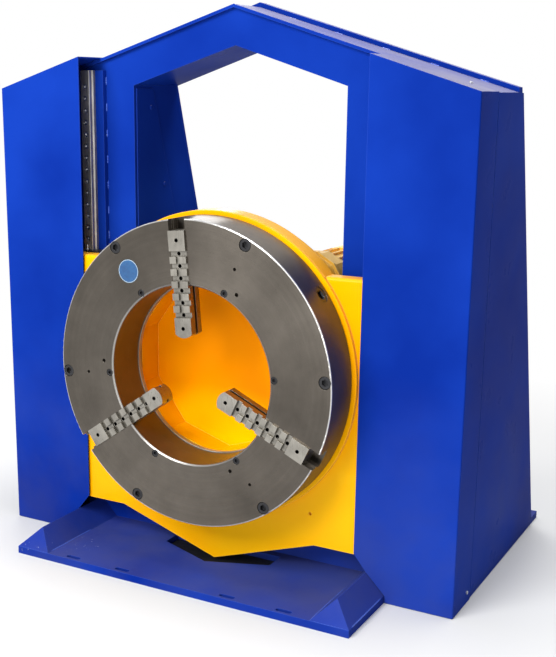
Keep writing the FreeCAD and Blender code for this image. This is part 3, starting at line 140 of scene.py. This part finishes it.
# ================================================================ shader helpers
class Shader:
    """One material's node tree, with short ways to add what the finishes below need."""

    def __init__(self, name):
        self.material = bpy.data.materials.new(name)
        self.material.use_nodes = True
        self.tree = self.material.node_tree
        self.tree.nodes.clear()
        self.surface = self.add("ShaderNodeBsdfPrincipled")
        output = self.add("ShaderNodeOutputMaterial")
        self.link(self.surface.outputs["BSDF"], output.inputs["Surface"])
        coordinates = self.add("ShaderNodeTexCoord")
        self.place = coordinates.outputs["Object"]
        self.facing = coordinates.outputs["Normal"]

    def add(self, kind, **settings):
        node = self.tree.nodes.new(kind)
        for key, value in settings.items():
            setattr(node, key, value)
        return node

    def link(self, source, target):
        self.tree.links.new(source, target)

    def feed(self, source, target):
        """Link a socket, or set a plain value."""
        if isinstance(source, bpy.types.NodeSocket):
            self.link(source, target)
        else:
            target.default_value = source

    def set(self, **values):
        for key, value in values.items():
            self.surface.inputs[key.replace("_", " ")].default_value = value

    def math(self, operation, a, b=0.0):
        node = self.add("ShaderNodeMath", operation=operation)
        self.feed(a, node.inputs[0])
        self.feed(b, node.inputs[1])
        return node.outputs[0]

    def scaled(self, scale):
        """Object place with each axis multiplied."""
        node = self.add("ShaderNodeMapping")
        self.link(self.place, node.inputs["Vector"])
        node.inputs["Scale"].default_value = scale
        return node.outputs["Vector"]

    def noise(self, scale, detail=3.0, roughness=0.5, vector=None):
        node = self.add("ShaderNodeTexNoise")
        self.link(vector or self.place, node.inputs["Vector"])
        node.inputs["Scale"].default_value = scale
        node.inputs["Detail"].default_value = detail
        node.inputs["Roughness"].default_value = roughness
        return node.outputs["Fac"]

    def line_noise(self, w, scale, detail=2.0):
        node = self.add("ShaderNodeTexNoise", noise_dimensions="1D")
        self.feed(w, node.inputs["W"])
        node.inputs["Scale"].default_value = scale
        node.inputs["Detail"].default_value = detail
        return node.outputs["Fac"]

    def remap(self, value, low, high, to_low=0.0, to_high=1.0):
        node = self.add("ShaderNodeMapRange")
        self.link(value, node.inputs["Value"])
        for key, number in (("From Min", low), ("From Max", high), ("To Min", to_low), ("To Max", to_high)):
            node.inputs[key].default_value = number
        return node.outputs["Result"]

    def mix(self, factor, a, b):
        node = self.add("ShaderNodeMix", data_type="RGBA")
        self.feed(factor, node.inputs[0])
        self.feed(a, node.inputs[6])
        self.feed(b, node.inputs[7])
        return node.outputs[2]

    def xyz(self):
        node = self.add("ShaderNodeSeparateXYZ")
        self.link(self.place, node.inputs["Vector"])
        return node.outputs

    def radius_y(self, centre_x, centre_z):
        """Distance from an axis that lies along Y."""
        axes = self.xyz()
        x = self.math("SUBTRACT", axes["X"], centre_x)
        z = self.math("SUBTRACT", axes["Z"], centre_z)
        squares = self.math("ADD", self.math("MULTIPLY", x, x), self.math("MULTIPLY", z, z))
        return self.math("SQRT", squares)

    def soft_edge(self, radius, heights):
        """Rounded edges, then bumps: each height is (socket, strength, distance)."""
        bevel = self.add("ShaderNodeBevel", samples=4)
        bevel.inputs["Radius"].default_value = radius
        normal = bevel.outputs["Normal"]
        for height, strength, distance in heights:
            bump = self.add("ShaderNodeBump")
            bump.inputs["Strength"].default_value = strength
            bump.inputs["Distance"].default_value = distance
            self.link(height, bump.inputs["Height"])
            self.link(normal, bump.inputs["Normal"])
            normal = bump.outputs["Normal"]
        self.link(normal, self.surface.inputs["Normal"])

    def edges(self, radius):
        """Mask for the painted edge highlights: 1 on outer and inner edges, fading to 0 on flat faces."""
        bevel = self.add("ShaderNodeBevel", samples=4)
        bevel.inputs["Radius"].default_value = radius
        turn = self.add("ShaderNodeVectorMath", operation="DOT_PRODUCT")
        self.link(bevel.outputs["Normal"], turn.inputs[0])
        self.link(self.add("ShaderNodeNewGeometry").outputs["Normal"], turn.inputs[1])
        return self.remap(turn.outputs["Value"], 0.82, 0.99, 1.0, 0.0)

    def corners(self, reach, most):
        """Mask for painted shade: 0 on open faces, rising to most deep in inner corners."""
        open_share = self.add("ShaderNodeAmbientOcclusion", samples=8, only_local=True)
        open_share.inputs["Distance"].default_value = reach
        return self.remap(open_share.outputs["AO"], 0.35, 0.85, most, 0.0)

    def turned_to(self, axis, start, full):
        """0 to 1 as faces turn towards an axis; start and full are parts of the unit normal along it."""
        node = self.add("ShaderNodeSeparateXYZ")
        self.link(self.facing, node.inputs["Vector"])
        return self.remap(node.outputs[axis], start, full)

    def band(self, value, middle, half):
        """1 at the middle value, fading to 0 at half a width away."""
        offset = self.math("ABSOLUTE", self.math("SUBTRACT", value, middle))
        return self.remap(offset, 0.0, half, 1.0, 0.0)

    def near(self, point, reach):
        """1 at a point, fading to 0 at reach."""
        node = self.add("ShaderNodeVectorMath", operation="DISTANCE")
        self.link(self.place, node.inputs[0])
        node.inputs[1].default_value = point
        return self.remap(node.outputs["Value"], 0.0, reach, 1.0, 0.0)


def rgba(r, g, b):
    return (r, g, b, 1.0)


# ================================================================ finishes
def gloss_paint(name, deep, bright, edge, roughness, shine, low_grey_and_reflection=low_grey_share, scuffs=(), painted_light_at=()):
    """Sprayed gloss paint on sheet steel: faint mottle, painted highlights along the edges, grey towards
    the floor, a painted reflection on faces that look up, orange peel and scuffs.

    The share of grey mixed in near the floor is one argument, and the painted reflection on faces that look
    up scales with it.
    The painted light inside a pan is given by two heights: the colour goes from deep, a painted shade, at
    the first to bright, painted light, at the second.
    """
    s = Shader(name)
    mottle = s.remap(s.noise(2.2, 4.0), 0.35, 0.65)
    height = s.xyz()["Z"]
    # painted light inside the pan: deep high in the bore, bright low down, mostly bright on faces turned
    # away from the front
    if painted_light_at:
        outside = s.math("MULTIPLY", s.turned_to("Y", -0.1, 0.1), 0.75)
        painted_light = s.math("MAXIMUM", s.remap(height, *painted_light_at), outside)
        mottle = s.math("MAXIMUM", s.math("MULTIPLY", mottle, 0.35), painted_light)
    colour = s.mix(mottle, deep, bright)
    cloud = s.remap(s.noise(3.2, 5.0, 0.6), 0.36, 0.68)
    # grey mixed in towards the floor
    low = s.math("MULTIPLY", s.remap(height, 0.0, low_grey_height, 1.0, 0.0), cloud)
    colour = s.mix(s.math("MULTIPLY", low, low_grey_and_reflection), colour, low_grey_colour)
    # painted reflection on faces that look up, stronger with height
    up_reflection_scale = low_grey_and_reflection / low_grey_share
    up_reflection_share = s.remap(height, up_reflection_from, up_reflection_to, up_reflection_low * up_reflection_scale, up_reflection_high * up_reflection_scale)
    up_reflection = s.math("MULTIPLY", s.turned_to("Z", 0.55, 0.9), up_reflection_share)
    up_reflection = s.math("MULTIPLY", up_reflection, s.remap(cloud, 0.0, 1.0, 0.60, 1.0))
    colour = s.mix(up_reflection, colour, up_reflection_colour)
    # the pale edge colour mixed in along edges is a painted highlight
    colour = s.mix(s.math("MULTIPLY", s.edges(edge_highlight_width), edge_highlight_share), colour, edge)
    specks = s.noise(95.0, 4.0, 0.65)
    for point, reach, amount in scuffs:
        patch = s.math("MULTIPLY", s.near(point, reach), s.remap(specks, amount, amount + 0.03))
        colour = s.mix(patch, colour, scuff_colour)
    s.link(colour, s.surface.inputs["Base Color"])
    s.link(s.remap(s.noise(9.0, 5.0), 0.3, 0.7, roughness * 0.85, roughness * 1.25),
           s.surface.inputs["Roughness"])
    s.set(Specular_IOR_Level=shine)
    s.soft_edge(0.0012, [(s.noise(3.0, 2.0), 0.30, 0.004), (s.noise(420.0, 2.0), 0.04, 0.0001)])
    return s.material


def turned_steel(name, colour, centre_x, centre_z, painted_highlight_rings=(), front=0.0):
    """Steel faced on a lathe: rings about an axis along Y, handling marks, stretched highlights and painted
    highlight rings at the edges.

    The painted highlight rings are rows of radius, half width and strength, and show only at the front.
    """
    s = Shader(name)
    radius = s.radius_y(centre_x, centre_z)
    rings = s.line_noise(radius, 1400.0, 3.0)
    bands = s.line_noise(radius, 70.0, 2.0)
    clouds = s.remap(s.noise(5.5, 6.0, 0.6), 0.3, 0.72)
    dark = rgba(*[c * 0.70 for c in colour])
    light = rgba(*[min(1.0, c * 1.30) for c in colour])
    shade = s.mix(s.math("MULTIPLY", clouds, s.remap(bands, 0.2, 0.8, 0.70, 1.0)), dark, light)
    at_front = s.remap(s.xyz()["Y"], front + 0.002, front + 0.006, 1.0, 0.0)
    # painted highlight rings at the chuck's edges
    for edge_radius, half, amount in painted_highlight_rings:
        edge = s.math("MULTIPLY", s.band(radius, edge_radius, half), at_front)
        shade = s.mix(s.math("MULTIPLY", edge, amount), shade, painted_highlight_steel)
    s.link(shade, s.surface.inputs["Base Color"])
    s.link(s.remap(rings, 0.25, 0.75, 0.26, 0.40), s.surface.inputs["Roughness"])
    s.set(Metallic=1.0, Anisotropic=0.8, Anisotropic_Rotation=0.25)
    tangent = s.add("ShaderNodeTangent", direction_type="RADIAL", axis="Y")
    s.link(tangent.outputs["Tangent"], s.surface.inputs["Tangent"])
    s.soft_edge(0.0008, [(rings, 0.10, 0.0002), (bands, 0.05, 0.0006)])
    return s.material


def ground_steel(name, colour, roughness, grain=(260.0, 260.0, 26.0), corner_shade=0.0, metallic=1.0):
    """Ground or milled steel with fine straight grain, light stains and painted shade in the inner corners.
    """
    s = Shader(name)
    lines = s.noise(1.0, 3.0, 0.6, s.scaled(grain))
    stains = s.remap(s.noise(14.0, 5.0, 0.6), 0.35, 0.7)
    dark = rgba(*[c * 0.7 for c in colour])
    light = rgba(*[min(1.0, c * 1.15) for c in colour])
    shade = s.mix(stains, light, dark)
    # darken inner corners: painted shade
    if corner_shade:
        shade = s.mix(s.corners(corner_shade_reach, corner_shade), shade, corner_shade_colour)
    s.link(shade, s.surface.inputs["Base Color"])
    s.link(s.remap(lines, 0.3, 0.7, roughness * 0.8, roughness * 1.3), s.surface.inputs["Roughness"])
    s.set(Metallic=metallic)
    s.soft_edge(0.0006, [(lines, 0.10, 0.0002)])
    return s.material


def satin(name, colour, roughness, grain, depth, metallic=0.0):
    """Cast, moulded or coated surface with a fine even grain."""
    s = Shader(name)
    mottle = s.remap(s.noise(30.0, 4.0), 0.3, 0.7)
    dark = rgba(*[c * 0.75 for c in colour])
    s.link(s.mix(mottle, dark, rgba(*colour)), s.surface.inputs["Base Color"])
    s.link(s.remap(s.noise(60.0, 3.0), 0.3, 0.7, roughness * 0.85, roughness * 1.15),
           s.surface.inputs["Roughness"])
    s.set(Metallic=metallic)
    s.soft_edge(0.0008, [(s.noise(grain, 3.0), 0.25, depth)])
    return s.material


def badge_finish(name):
    """Plain blue disc with a thin pale rim."""
    s = Shader(name)
    low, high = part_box("badge_disc")
    radius = s.radius_y((low[0] + high[0]) / 2, (low[2] + high[2]) / 2)
    edge = (high[0] - low[0]) / 2
    rim = s.remap(radius, edge - 0.0022, edge - 0.0014)
    blue = s.mix(s.remap(s.noise(60.0, 3.0), 0.3, 0.7), rgba(0.005, 0.058, 0.175), rgba(0.010, 0.095, 0.25))
    s.link(s.mix(rim, blue, rgba(0.30, 0.40, 0.50)), s.surface.inputs["Base Color"])
    s.set(Roughness=0.25, Coat_Weight=0.6, Coat_Roughness=0.05)
    s.soft_edge(0.0004, [(s.noise(300.0, 2.0), 0.05, 0.0001)])
    return s.material


foot_low, foot_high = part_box("foot_gusset_left")
# place, reach and speck threshold of each scuffed patch
scuff_places = [((foot_high[0] + 0.05, foot_low[1] + 0.10, plate_top), 0.07, 0.645),
                ((foot_high[0] - 0.05, foot_low[1] + 0.01, plate_top), 0.06, 0.645)]
# radius, half width and strength of each painted highlight ring, at the chuck's rim and at its bore
chuck_painted_highlights = [(chuck_radius - 0.001, 0.0028, 0.9), (bore_radius + 0.002, 0.0030, 0.45)]

# the third colour of each gloss paint is its painted edge highlight
finish = {
    "frame_paint": gloss_paint(
        "blue_gloss_paint", rgba(0.003, 0.021, 0.235), rgba(0.006, 0.037, 0.335), rgba(0.05, 0.11, 0.52),
        roughness=0.30, shine=0.003, scuffs=scuff_places),
    "carriage_paint": gloss_paint(
        "yellow_gloss_paint", rgba(0.98, 0.375, 0.0), rgba(1.0, 0.50, 0.0), rgba(1.0, 0.80, 0.25),
        roughness=0.22, shine=0.08, low_grey_and_reflection=0.04),
    "gearbox_paint": gloss_paint(
        "gearbox_yellow_paint", rgba(0.86, 0.46, 0.05), rgba(0.98, 0.62, 0.10), rgba(1.0, 0.85, 0.45),
        roughness=0.30, shine=0.20, low_grey_and_reflection=0.10),
    # paler blue than the frame paint: painted highlights on the weld beads
    "weld_highlight_paint": gloss_paint(
        "pale_weld_highlight_paint", rgba(0.02, 0.075, 0.50), rgba(0.05, 0.13, 0.62), rgba(0.12, 0.22, 0.72),
        roughness=0.20, shine=0.30),
    "chuck_steel": turned_steel("turned_chuck_steel", (0.128, 0.113, 0.096), spindle_axis.x, axis_z,
                                painted_highlight_rings=chuck_painted_highlights, front=chuck_face),
    # the jaws get painted shade in their inner corners
    "jaw_steel": ground_steel("milled_jaw_steel", (0.36, 0.34, 0.30), roughness=0.30, corner_shade=0.9),
    "ground_steel": ground_steel("ground_rail_steel", (0.40, 0.39, 0.37), roughness=0.42, metallic=0.75),
    "nut_bronze": ground_steel("turned_bronze", (0.58, 0.36, 0.14), roughness=0.32),
    "motor_paint": satin("motor_grey_paint", (0.17, 0.19, 0.22), roughness=0.42, grain=420.0, depth=0.0003),
    "black_screws": satin("black_oxide", (0.045, 0.045, 0.048), roughness=0.34, grain=600.0, depth=0.0001,
                          metallic=0.8),
    "zinc_screws": satin("zinc_plate", (0.60, 0.61, 0.63), roughness=0.30, grain=500.0, depth=0.0001,
                         metallic=1.0),
    "bearing_steel": satin("painted_casting", (0.10, 0.11, 0.12), roughness=0.50, grain=260.0,
                           depth=0.0008),
    "black_paint": satin("black_satin_paint", (0.008, 0.008, 0.009), roughness=0.60, grain=300.0,
                         depth=0.0003),
    "seal_rubber": satin("seal_rubber", (0.012, 0.012, 0.013), roughness=0.55, grain=300.0,
                         depth=0.0002),
    "gland_plastic": satin("black_plastic", (0.025, 0.025, 0.028), roughness=0.45, grain=700.0,
                           depth=0.0002),
    "badge_blue": badge_finish("plain_blue_badge"),
}

# the pan's paint carries painted light: deep orange high in the bore and yellow low down, where the light
# falls in
pan_light_and_paint = gloss_paint(
    "pan_gloss_and_painted_light", rgba(0.80, 0.245, 0.0), rgba(1.0, 0.54, 0.0), rgba(1.0, 0.70, 0.15),
    roughness=0.26, shine=0.02, low_grey_and_reflection=0.0,
    painted_light_at=(axis_z - bore_radius * 0.30, axis_z - bore_radius * 0.95))
for row in frame["record"]["subparts"]:
    for slot in nodes[row["node"]].material_slots:
        slot.material = pan_light_and_paint if row["node"] == "bore_pan" else finish[row["material_slot"]]


# ================================================================ mesh helpers
def finish_piece(name, mesh_data, slot_name, body, smooth=True, look=None):
    """Turn a bmesh into a piece that rides on a body; look names a finish other than the slot's."""
    mesh = bpy.data.meshes.new(name)
    bmesh.ops.recalc_face_normals(mesh_data, faces=mesh_data.faces)
    mesh_data.to_mesh(mesh)
    mesh_data.free()
    piece = bpy.data.objects.new(name, mesh)
    bpy.context.scene.collection.objects.link(piece)
    mesh.materials.append(finish[look or slot_name])
    for polygon in mesh.polygons:
        polygon.use_smooth = smooth
    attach(piece, body)


def bridge(data, rings):
    """Closed skin over a row of rings of points."""
    for low, high in zip(rings, rings[1:]):
        for j, point in enumerate(low):
            k = (j + 1) % len(low)
            data.faces.new((point, low[k], high[k], high[j]))
    data.faces.new(rings[0])
    data.faces.new(rings[-1])


def add_bead(data, start, end, out, radius):
    """Weld bead from start to end: an overlapped, slightly uneven run standing towards out."""
    along = end - start
    length = along.length
    along.normalize()
    side = along.cross(out).normalized()
    out = side.cross(along).normalized()
    steps = max(8, int(length / (radius * bead_step)))
    rings = []
    phase = random.uniform(0.0, 6.0)
    for i in range(steps + 1):
        t = i / steps
        taper = min(1.0, 6.0 * min(t, 1.0 - t) + 0.25)
        swell = bead_ripple * math.sin(phase + t * length / (radius * bead_ripple_step))
        ripple = 1.0 + swell + random.uniform(-bead_wander, bead_wander)
        centre = start + along * (length * t)
        ring = []
        reach = radius * taper * ripple
        for j in range(bead_sides):
            angle = 2.0 * math.pi * j / bead_sides
            rise = math.sin(angle) * reach * bead_height
            ring.append(data.verts.new(centre + side * (math.cos(angle) * reach) + out * rise))
        rings.append(ring)
    bridge(data, rings)


def weld_piece(name, runs, radius):
    """One piece of several beads on the frame; each run is (start, end, out)."""
    data = bmesh.new()
    for start, end, out in runs:
        add_bead(data, Vector(start), Vector(end), Vector(out), radius)
    # the beads take the paler paint, a painted highlight
    finish_piece(name, data, "frame_paint", "root", look="weld_highlight_paint")


def stitched(start, end, out, dash, pitch):
    """Short runs along a line, centred on it."""
    start = Vector(start)
    end = Vector(end)
    along = (end - start).normalized()
    length = (end - start).length
    count = int((length - dash) // pitch) + 1
    first = (length - (count - 1) * pitch - dash) / 2
    runs = []
    for k in range(count):
        a = start + along * (first + k * pitch)
        runs.append((a, a + along * dash, out))
    return runs


def lathe(data, centre, axis, profile, around):
    """Closed solid of revolution; profile is (radius, distance along the axis)."""
    axis = Vector(axis).normalized()
    side = axis.orthogonal().normalized()
    other = axis.cross(side)
    rings = []
    for radius, reach in profile:
        ring = []
        for j in range(around):
            angle = 2.0 * math.pi * j / around
            offset = side * (math.cos(angle) * radius) + other * (math.sin(angle) * radius)
            ring.append(data.verts.new(Vector(centre) + axis * reach + offset))
        rings.append(ring)
    bridge(data, rings)


# ================================================================ camera, light, floor
def build_camera():
    back = Vector((math.sin(view_azimuth) * math.cos(view_down),
                   -math.cos(view_azimuth) * math.cos(view_down), math.sin(view_down)))
    right = (-back).cross(Vector((0.0, 0.0, 1.0))).normalized()
    up = right.cross(-back)
    right, up = (right * math.cos(view_roll) + up * math.sin(view_roll),
                 up * math.cos(view_roll) - right * math.sin(view_roll))
    data = bpy.data.cameras.new("camera")
    data.lens = camera_lens
    data.shift_x, data.shift_y = camera_shift
    data.clip_end = 100.0
    camera = bpy.data.objects.new("camera", data)
    turn = Matrix((right, up, back)).transposed().to_4x4()
    camera.matrix_world = Matrix.Translation(camera_place) @ turn
    bpy.context.scene.collection.objects.link(camera)
    bpy.context.scene.camera = camera


def soft_lamp(name, place, target, size, power):
    data = bpy.data.lights.new(name, "AREA")
    data.shape = "SQUARE"
    data.size = size
    data.energy = power
    lamp = bpy.data.objects.new(name, data)
    direction = Vector(target) - Vector(place)
    turn = direction.to_track_quat("-Z", "Y").to_matrix().to_4x4()
    lamp.matrix_world = Matrix.Translation(Vector(place)) @ turn
    bpy.context.scene.collection.objects.link(lamp)


def rays(tree, *kinds):
    """1 for a ray of any of the kinds, otherwise 0."""
    path = tree.nodes.new("ShaderNodeLightPath")
    found = path.outputs[kinds[0]]
    for kind in kinds[1:]:
        either = tree.nodes.new("ShaderNodeMath")
        either.operation = "MAXIMUM"
        tree.links.new(found, either.inputs[0])
        tree.links.new(path.outputs[kind], either.inputs[1])
        found = either.outputs[0]
    return found


def build_world():
    """White to camera, glossy and transmission rays; a plain soft fill to everything else."""
    world = bpy.data.worlds.new("studio")
    bpy.context.scene.world = world
    world.use_nodes = True
    tree = world.node_tree
    tree.nodes.clear()
    seen = rays(tree, "Is Camera Ray", "Is Glossy Ray", "Is Transmission Ray")
    fill = tree.nodes.new("ShaderNodeBackground")
    fill.inputs["Color"].default_value = rgba(0.93, 0.96, 1.0)
    fill.inputs["Strength"].default_value = fill_strength
    white = tree.nodes.new("ShaderNodeBackground")
    white.inputs["Color"].default_value = rgba(1.0, 1.0, 1.0)
    white.inputs["Strength"].default_value = 1.0
    mix = tree.nodes.new("ShaderNodeMixShader")
    tree.links.new(seen, mix.inputs[0])
    tree.links.new(fill.outputs[0], mix.inputs[1])
    tree.links.new(white.outputs[0], mix.inputs[2])
    output = tree.nodes.new("ShaderNodeOutputWorld")
    tree.links.new(mix.outputs[0], output.inputs["Surface"])


def build_floor():
    """Pale floor that keeps the shadow near the machine and turns plain white to the camera farther out."""
    data = bmesh.new()
    corners = [(-floor_half, -floor_half), (floor_half, -floor_half), (floor_half, floor_half),
               (-floor_half, floor_half)]
    data.faces.new([data.verts.new((x, y, 0.0)) for x, y in corners])
    mesh = bpy.data.meshes.new("floor")
    data.to_mesh(mesh)
    data.free()
    floor = bpy.data.objects.new("floor", mesh)
    bpy.context.scene.collection.objects.link(floor)
    material = bpy.data.materials.new("pale_floor")
    material.use_nodes = True
    tree = material.node_tree
    tree.nodes.clear()
    paint = tree.nodes.new("ShaderNodeBsdfDiffuse")
    paint.inputs["Color"].default_value = rgba(floor_grey, floor_grey, floor_grey)
    glow = tree.nodes.new("ShaderNodeEmission")
    glow.inputs["Color"].default_value = rgba(1.0, 1.0, 1.0)
    glow.inputs["Strength"].default_value = 1.0
    seen = rays(tree, "Is Camera Ray", "Is Glossy Ray")
    place = tree.nodes.new("ShaderNodeTexCoord")
    away = tree.nodes.new("ShaderNodeVectorMath")
    away.operation = "LENGTH"
    tree.links.new(place.outputs["Object"], away.inputs[0])
    fade = tree.nodes.new("ShaderNodeMapRange")
    tree.links.new(away.outputs["Value"], fade.inputs["Value"])
    for key, number in (("From Min", shadow_near), ("From Max", shadow_far), ("To Min", near_glow),
                        ("To Max", 1.0)):
        fade.inputs[key].default_value = number
    share = tree.nodes.new("ShaderNodeMath")
    share.operation = "MULTIPLY"
    tree.links.new(seen, share.inputs[0])
    tree.links.new(fade.outputs["Result"], share.inputs[1])
    mix = tree.nodes.new("ShaderNodeMixShader")
    tree.links.new(share.outputs[0], mix.inputs[0])
    tree.links.new(paint.outputs[0], mix.inputs[1])
    tree.links.new(glow.outputs[0], mix.inputs[2])
    output = tree.nodes.new("ShaderNodeOutputMaterial")
    tree.links.new(mix.outputs[0], output.inputs["Surface"])
    mesh.materials.append(material)


# ================================================================ welds
def roof_stitches():
    """Short beads where the raised bars meet the roof plates."""
    low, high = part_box("roof_strips")
    ridge = Vector((0.0, high[1], high[2]))
    eave_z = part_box("roof_plate_right")[0][2] + eave_rise
    half = high[0]
    rake = (high[2] - low[2]) * back_slope
    for side, name in ((1, "right"), (-1, "left")):
        start = (side * ridge_gap, ridge.y - rake - roof_bead_setback, ridge.z - ridge_drop)
        end = (side * (half - eave_gap), ridge.y - roof_bead_setback, eave_z + eave_bead_rise)
        runs = stitched(start, end, (0.0, -0.6, 0.8), roof_stitch, roof_pitch)
        weld_piece("roof_stitch_welds_" + name, runs, roof_bead)


def strip_stitches():
    """Short beads along the inner edge of each rail strip."""
    low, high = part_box("rail_mount_strips")
    for side, name in ((1, "right"), (-1, "left")):
        x = side * (high[0] - strip_width)
        y = high[1] - strip_bead_inset
        runs = stitched((x, y, low[2] + strip_foot_gap), (x, y, high[2] - strip_head_gap),
                        (-side, -1.0, 0.0), strip_stitch, strip_pitch)
        weld_piece("strip_stitch_welds_" + name, runs, strip_bead)


def foot_welds():
    """Beads round the foot of each gusset, on three sides."""
    for name in ("right", "left"):
        low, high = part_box("foot_gusset_" + name)
        z = low[2]
        front = low[1] + foot_inset
        edge = low[1] + foot_front_inset
        x = high[0] - foot_inset
        runs = [((low[0], front, z), (low[0], chuck_high[1], z), (-1.0, 0.0, 1.0)),
                ((x, front, z), (x, low[1] + foot_run, z), (0.2, 0.0, 1.0)),
                ((low[0], edge, z), (high[0], edge, z), (0.0, -0.2, 1.0))]
        weld_piece("foot_welds_" + name, runs, foot_bead)


roof_stitches()
strip_stitches()
foot_welds()


# ================================================================ guide block seals and nipples
rail_low, rail_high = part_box("guide_rail_right")
block_low, block_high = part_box("guide_blocks")
rail_x = (rail_low[0] + rail_high[0]) / 2
seal_front = block_low[1] + seal_inset
block_heights = sorted({round(vertex.co.z, 4) for vertex in nodes["guide_blocks"].data.vertices})
upper_block = [z for z in block_heights if z > axis_z]
lower_block = [z for z in block_heights if z < axis_z]


def seal_outline():
    """A seal's outline round the rail, seen from above, with the rail in the middle."""
    half = block_high[0] - rail_x - seal_inset
    slot = (rail_high[0] - rail_low[0]) / 2 + rail_clearance
    back = block_high[1] - seal_inset
    web = rail_low[1] - rail_clearance
    return [(-half, back), (-half, seal_front), (half, seal_front), (half, back), (slot, back), (slot, web),
            (-slot, web), (-slot, back)]


def end_seals():
    """Black seals round the rail on both ends of each guide block."""
    outline = seal_outline()
    count = len(outline)
    ends = [(upper_block[-1], 1), (upper_block[0], -1), (lower_block[-1], 1), (lower_block[0], -1)]
    data = bmesh.new()
    for side in (1, -1):
        for z, way in ends:
            start = z + way * seal_gap
            stop = z + way * seal_reach
            low_ring = [data.verts.new((side * rail_x + x, y, start)) for x, y in outline]
            high_ring = [data.verts.new((side * rail_x + x, y, stop)) for x, y in outline]
            for k in range(count):
                n = (k + 1) % count
                data.faces.new((low_ring[k], low_ring[n], high_ring[n], high_ring[k]))
            for ring in (low_ring, high_ring):
                for corners in ((0, 1, 6, 7), (1, 2, 5, 6), (2, 3, 4, 5)):
                    data.faces.new([ring[k] for k in corners])
    finish_piece("guide_block_end_seals", data, "black_paint", "carriage", smooth=False, look="seal_rubber")


def grease_nipples():
    data = bmesh.new()
    for side in (1, -1):
        centre = (side * rail_x, seal_front + nipple_inset, upper_block[-1] + nipple_rise)
        lathe(data, centre, (0.0, 0.0, 1.0), nipple_profile, 16)
    finish_piece("guide_block_grease_nipples", data, "zinc_screws", "carriage")


end_seals()
grease_nipples()

bpy.context.scene.view_settings.view_transform = "Standard"
build_camera()
build_world()
build_floor()
for lamp in lamps:
    soft_lamp(*lamp)
